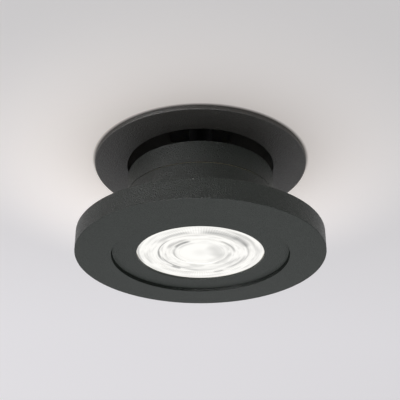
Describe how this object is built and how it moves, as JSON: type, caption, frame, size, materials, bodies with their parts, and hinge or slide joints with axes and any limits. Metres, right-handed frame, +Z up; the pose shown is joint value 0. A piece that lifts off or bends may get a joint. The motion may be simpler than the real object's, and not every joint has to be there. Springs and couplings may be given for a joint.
{
  "type": "soffit downlight",
  "caption": "Recessed soffit downlight: a flat trim ring with a tilting, swivelling round head, a wide face disc and a lit ringed lens; spring clips hold it in the cut-out.",
  "frame": {"origin": "centre of the cut-out, on the soffit's underside, where the flange's back rests", "axes": "+Z up into the soffit; the head tilts about X; the spring clips lie along X"},
  "size_m": [0.1224, 0.1006, 0.1234],
  "materials": {
    "graphite_coat": "dark grey powder coat, finely sanded",
    "black_coat": "matt black coat",
    "zinc_steel": "zinc plated",
    "bright_steel": "stainless",
    "black_nylon": "moulded",
    "black_rubber": "matt",
    "brown_silicone": "matt",
    "white_nylon": "moulded",
    "lead_sleeve": "silicone sleeve",
    "wire_insulation": "soft",
    "driver_case": "moulded",
    "terminal_plastic": "moulded",
    "lens_acrylic": "clear acrylic optic with rings, lit",
    "led_phosphor": "lit phosphor",
    "board_white": "solder mask",
    "pad_grey": "matt"
  },
  "bodies": {
    "housing": {"trim_ring": "graphite_coat", "flange_gasket": "black_rubber", "recess_sleeve": "black_coat", "sleeve_screws": "zinc_steel", "swivel_bridge": "zinc_steel", "bridge_screws": "zinc_steel", "swivel_bush": "white_nylon", "can_cover": "black_coat", "cover_screws": "zinc_steel", "led_driver": "driver_case", "terminal_block": "terminal_plastic", "driver_leads": "wire_insulation", "gland_body": "black_nylon", "gland_locknut": "black_nylon", "gland_seal": "black_rubber", "gland_nut": "black_nylon", "clip_bracket_right": "zinc_steel", "clip_bracket_left": "zinc_steel", "clip_pin_right": "bright_steel", "clip_pin_left": "bright_steel", "clip_rivets": "bright_steel", "lead_upper": "lead_sleeve"},
    "clip_right": {"spring_clip_right": "zinc_steel", "clip_pad_right": "black_rubber", "torsion_spring_right": "bright_steel"},
    "clip_left": {"spring_clip_left": "zinc_steel", "clip_pad_left": "black_rubber", "torsion_spring_left": "bright_steel"},
    "stem": {"swivel_stem": "black_coat", "swivel_washer": "bright_steel", "swivel_nut": "zinc_steel", "stop_pin": "bright_steel", "lead_in_stem": "lead_sleeve"},
    "head": {"face_disc": "graphite_coat", "front_bezel": "graphite_coat", "lens": "lens_acrylic", "lens_gasket": "brown_silicone", "lens_holder": "black_nylon", "disc_screws": "bright_steel", "head_body": "graphite_coat", "rear_cap": "graphite_coat", "seam_gasket": "brown_silicone", "cap_screws": "bright_steel", "thermal_pad": "pad_grey", "led_board": "board_white", "led_chip": "led_phosphor", "board_screws": "zinc_steel", "tilt_bracket": "zinc_steel", "bracket_screws": "bright_steel", "pivot_screws": "bright_steel", "pivot_washers": "white_nylon", "lead_grommet": "black_rubber", "lead_in_head": "lead_sleeve"}
  },
  "joints": [
    {"name": "swivel", "type": "hinge", "parent": "housing", "child": "stem", "pos_m": [0, 0, 0.0285], "axis": [0, 0, 1], "range_deg": [-170, 170]},
    {"name": "tilt", "type": "hinge", "parent": "stem", "child": "head", "pos_m": [0, 0, -0.017], "axis": [1, 0, 0], "range_deg": [-30, 30], "deforming": ["lead_in_head"]},
    {"name": "clip_right_fold", "type": "hinge", "parent": "housing", "child": "clip_right", "pos_m": [0.029, 0, 0.024], "axis": [0, -1, 0], "range_deg": [0, 110], "stiffness_Nm_per_rad": 0.02, "springref_deg": -28.65, "deforming": ["torsion_spring_right"]},
    {"name": "clip_left_fold", "type": "hinge", "parent": "housing", "child": "clip_left", "pos_m": [-0.029, 0, 0.024], "axis": [0, 1, 0], "range_deg": [0, 110], "stiffness_Nm_per_rad": 0.02, "springref_deg": -28.65, "deforming": ["torsion_spring_left"]}
  ]
}
